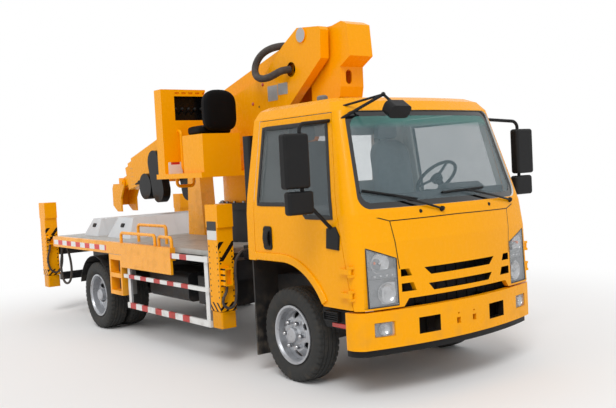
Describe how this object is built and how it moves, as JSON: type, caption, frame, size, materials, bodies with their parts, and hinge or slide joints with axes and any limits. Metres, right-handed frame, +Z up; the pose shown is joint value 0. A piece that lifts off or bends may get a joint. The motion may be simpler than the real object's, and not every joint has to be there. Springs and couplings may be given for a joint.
{
  "type": "cherry picker truck",
  "caption": "Forward-control truck with a telescopic boom on a slewing turntable, a work bucket, an operator's station and outrigger jacks on sliding beams.",
  "frame": {"origin": "on the ground under the middle of the truck", "axes": "+X forward, +Y to the truck's left, +Z up"},
  "size_m": [6.7198, 2.84, 3.102],
  "materials": {
    "cab_paint": "glossy cab paint",
    "plant_paint": "glossy paint on the superstructure",
    "chassis_black": "satin chassis paint",
    "deck_grey": "chequered sheet",
    "cover_grey": "moulded hatch",
    "black_plastic": "grained plastic",
    "wheel_silver": "silver wheel paint",
    "tyre": "worn tread",
    "glass": "tinted glass",
    "lamp": "clear lamp cover",
    "seat": "seat cover",
    "steel": "bare steel",
    "chrome": "plated rod",
    "guard_alu": "side guard profile",
    "bucket_shell": "moulded bucket",
    "hose": "sheathed hose"
  },
  "bodies": {
    "chassis": {"chassis_frame": "chassis_black", "subframe": "chassis_black", "front_axle": "chassis_black", "rear_axle": "chassis_black", "engine_block": "chassis_black", "chassis_tanks": "chassis_black", "cab_shell": "cab_paint", "cab_front": "cab_paint", "cab_glass": "glass", "lamps": "lamp", "bumper": "cab_paint", "cab_trim": "black_plastic", "cab_interior": "seat", "mudguards": "black_plastic", "deck_body": "deck_grey", "deck_boxes": "cover_grey", "side_guards": "guard_alu", "front_hose_left": "hose", "front_hose_right": "hose", "rear_hose_left": "hose", "rear_hose_right": "hose", "rear_loop_left": "hose", "rear_loop_right": "hose"},
    "knuckle_left": {"knuckle_left": "chassis_black"},
    "front_wheel_left": {"front_rim_left": "wheel_silver", "front_tyre_left": "tyre"},
    "rear_wheels_left": {"rear_rims_left": "wheel_silver", "rear_tyres_left": "tyre"},
    "door_left": {"door_left": "cab_paint", "door_glass_left": "glass", "mirror_left": "black_plastic"},
    "knuckle_right": {"knuckle_right": "chassis_black"},
    "front_wheel_right": {"front_rim_right": "wheel_silver", "front_tyre_right": "tyre"},
    "rear_wheels_right": {"rear_rims_right": "wheel_silver", "rear_tyres_right": "tyre"},
    "door_right": {"door_right": "cab_paint", "door_glass_right": "glass", "mirror_right": "black_plastic"},
    "beam_front_left": {"beam_front_left": "plant_paint"},
    "jack_front_left": {"jack_front_left": "steel"},
    "beam_front_right": {"beam_front_right": "plant_paint"},
    "jack_front_right": {"jack_front_right": "steel"},
    "beam_rear_left": {"beam_rear_left": "plant_paint"},
    "jack_rear_left": {"jack_rear_left": "steel"},
    "beam_rear_right": {"beam_rear_right": "plant_paint"},
    "jack_rear_right": {"jack_rear_right": "steel"},
    "turntable": {"turntable": "plant_paint", "console": "plant_paint", "operator_seat": "seat"},
    "boom": {"boom_base": "plant_paint", "boom_fittings": "black_plastic", "boom_hose": "hose"},
    "boom_middle": {"boom_middle": "plant_paint"},
    "boom_inner": {"boom_inner": "plant_paint"},
    "luff_barrel": {"luff_barrel": "steel"},
    "luff_rod": {"luff_rod": "chrome"},
    "boom_head": {"boom_head": "plant_paint"},
    "bucket": {"bucket_arm": "plant_paint", "bucket": "bucket_shell"}
  },
  "joints": [
    {"name": "steer_left", "type": "hinge", "parent": "chassis", "child": "knuckle_left", "pos_m": [2.25, 0.7, 0.3985], "axis": [0, 0, 1], "range_deg": [-35, 35]},
    {"name": "front_wheel_spin_left", "type": "hinge", "parent": "knuckle_left", "child": "front_wheel_left", "pos_m": [2.25, 0.84, 0.3985], "axis": [0, 1, 0], "continuous": true},
    {"name": "rear_wheels_spin_left", "type": "hinge", "parent": "chassis", "child": "rear_wheels_left", "pos_m": [-1.565, 0.825, 0.3985], "axis": [0, 1, 0], "continuous": true},
    {"name": "door_open_left", "type": "hinge", "parent": "chassis", "child": "door_left", "pos_m": [3.15, 1.017, 0.91], "axis": [0, 0, -1], "range_deg": [0, 70]},
    {"name": "steer_right", "type": "hinge", "parent": "chassis", "child": "knuckle_right", "pos_m": [2.25, -0.7, 0.3985], "axis": [0, 0, 1], "range_deg": [-35, 35]},
    {"name": "front_wheel_spin_right", "type": "hinge", "parent": "knuckle_right", "child": "front_wheel_right", "pos_m": [2.25, -0.84, 0.3985], "axis": [0, 1, 0], "continuous": true},
    {"name": "rear_wheels_spin_right", "type": "hinge", "parent": "chassis", "child": "rear_wheels_right", "pos_m": [-1.565, -0.825, 0.3985], "axis": [0, 1, 0], "continuous": true},
    {"name": "door_open_right", "type": "hinge", "parent": "chassis", "child": "door_right", "pos_m": [3.15, -1.017, 0.91], "axis": [0, 0, 1], "range_deg": [0, 70]},
    {"name": "beam_out_front_left", "type": "slide", "parent": "chassis", "child": "beam_front_left", "axis": [0, 1, 0], "range_m": [0, 0.55]},
    {"name": "jack_down_front_left", "type": "slide", "parent": "beam_front_left", "child": "jack_front_left", "axis": [0, 0, -1], "range_m": [0, 0.42]},
    {"name": "beam_out_front_right", "type": "slide", "parent": "chassis", "child": "beam_front_right", "axis": [0, -1, 0], "range_m": [0, 0.55]},
    {"name": "jack_down_front_right", "type": "slide", "parent": "beam_front_right", "child": "jack_front_right", "axis": [0, 0, -1], "range_m": [0, 0.42]},
    {"name": "beam_out_rear_left", "type": "slide", "parent": "chassis", "child": "beam_rear_left", "axis": [0, 1, 0], "range_m": [0, 0.55]},
    {"name": "jack_down_rear_left", "type": "slide", "parent": "beam_rear_left", "child": "jack_rear_left", "axis": [0, 0, -1], "range_m": [0, 0.42]},
    {"name": "beam_out_rear_right", "type": "slide", "parent": "chassis", "child": "beam_rear_right", "axis": [0, -1, 0], "range_m": [0, 0.55]},
    {"name": "jack_down_rear_right", "type": "slide", "parent": "beam_rear_right", "child": "jack_rear_right", "axis": [0, 0, -1], "range_m": [0, 0.42]},
    {"name": "slew", "type": "hinge", "parent": "chassis", "child": "turntable", "pos_m": [0.5, 0, 1.47], "axis": [0, 0, 1], "range_deg": [-110, 110]},
    {"name": "luff", "type": "hinge", "parent": "turntable", "child": "boom", "pos_m": [1.69, 0, 3.025], "axis": [0, 1, 0], "range_deg": [0, 80]},
    {"name": "luff_barrel_swing", "type": "hinge", "parent": "turntable", "child": "luff_barrel", "pos_m": [1.05, 0, 2.2], "axis": [0, 1, 0], "range_deg": [0, 82]},
    {"name": "luff_rod_slide", "type": "slide", "parent": "luff_barrel", "child": "luff_rod", "axis": [-0.9945, 0, -0.105], "range_m": [0, 1.345]},
    {"name": "telescope", "type": "slide", "parent": "boom", "child": "boom_middle", "axis": [-0.9677, 0, -0.2521], "range_m": [0, 2.6]},
    {"name": "telescope_inner", "type": "slide", "parent": "boom_middle", "child": "boom_inner", "axis": [-0.9677, 0, -0.2521], "range_m": [0, 2.6]},
    {"name": "head_level", "type": "hinge", "parent": "boom_inner", "child": "boom_head", "pos_m": [-2.80611, 0, 1.71951], "axis": [0, 1, 0], "range_deg": [-80, 0]},
    {"name": "bucket_rotate", "type": "hinge", "parent": "boom_head", "child": "bucket", "pos_m": [-2.98, 0, 1.7], "axis": [0, 0, 1], "range_deg": [0, 180]}
  ],
  "couplings": [
    {"joint": "steer_right", "follows": "steer_left", "ratio": 1},
    {"joint": "luff_barrel_swing", "follows": "luff", "ratio": 1.0219},
    {"joint": "luff_rod_slide", "follows": "luff", "m_per_rad": 0.9602},
    {"joint": "telescope_inner", "follows": "telescope", "ratio": 1},
    {"joint": "head_level", "follows": "luff", "ratio": -1}
  ]
}
